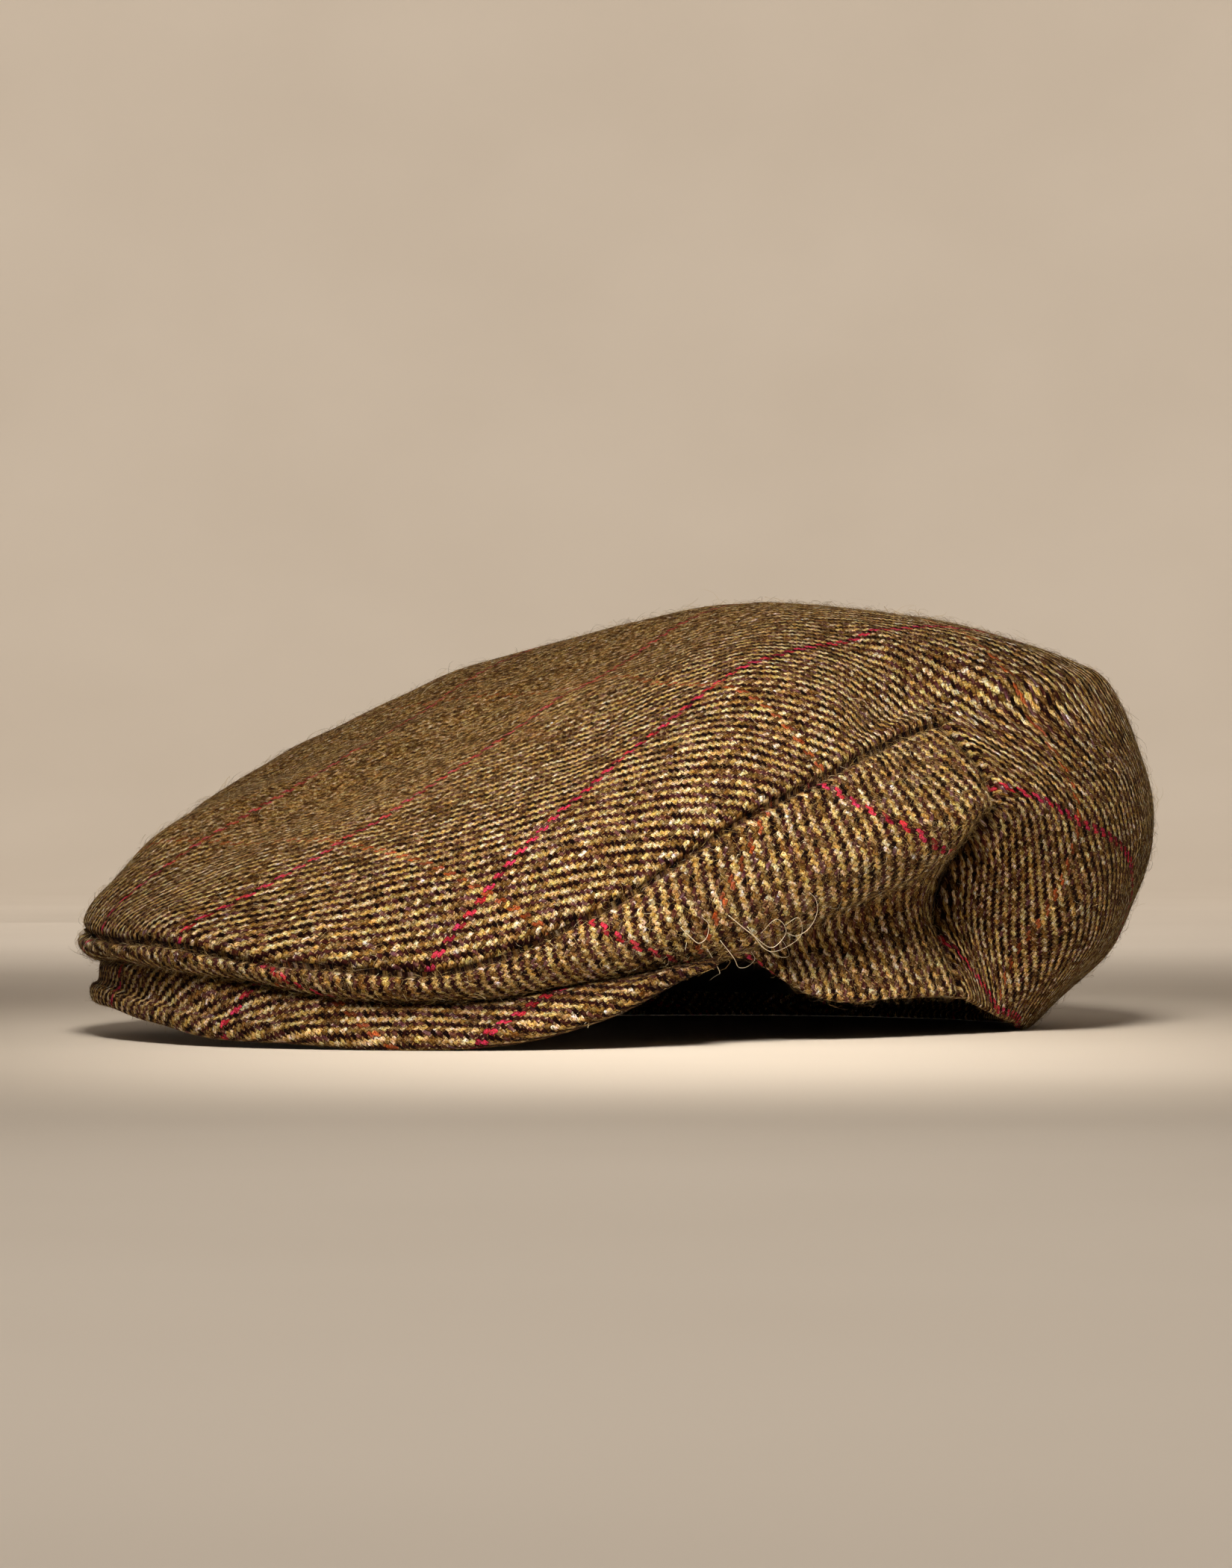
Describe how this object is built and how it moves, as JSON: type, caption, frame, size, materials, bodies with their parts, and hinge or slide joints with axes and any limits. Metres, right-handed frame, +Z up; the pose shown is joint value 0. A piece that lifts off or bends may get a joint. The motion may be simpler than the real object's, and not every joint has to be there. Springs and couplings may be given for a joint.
{
  "type": "flat cap",
  "caption": "Soft flat cap of checked tweed: low rounded crown pulled forward over a short stiff peak, with side panels, turned hem and a plain dark lining.",
  "frame": {"origin": "on the ground under the middle of the cap's overall box", "axes": "+Z up, -Y to the front where the peak is, +X to the wearer's left"},
  "size_m": [0.2062, 0.2796, 0.1045],
  "materials": {
    "top_tweed": "matte wool twill with a red and rust check",
    "left_tweed": "matte wool twill with a red and rust check",
    "right_tweed": "matte wool twill with a red and rust check",
    "peak_tweed": "matte wool twill over a stiff board",
    "lining_satin": "smooth dark satin"
  },
  "bodies": {
    "root": {"crown_top": "top_tweed", "crown_side_left": "left_tweed", "crown_side_right": "right_tweed", "peak": "peak_tweed", "lining": "lining_satin"}
  },
  "joints": []
}
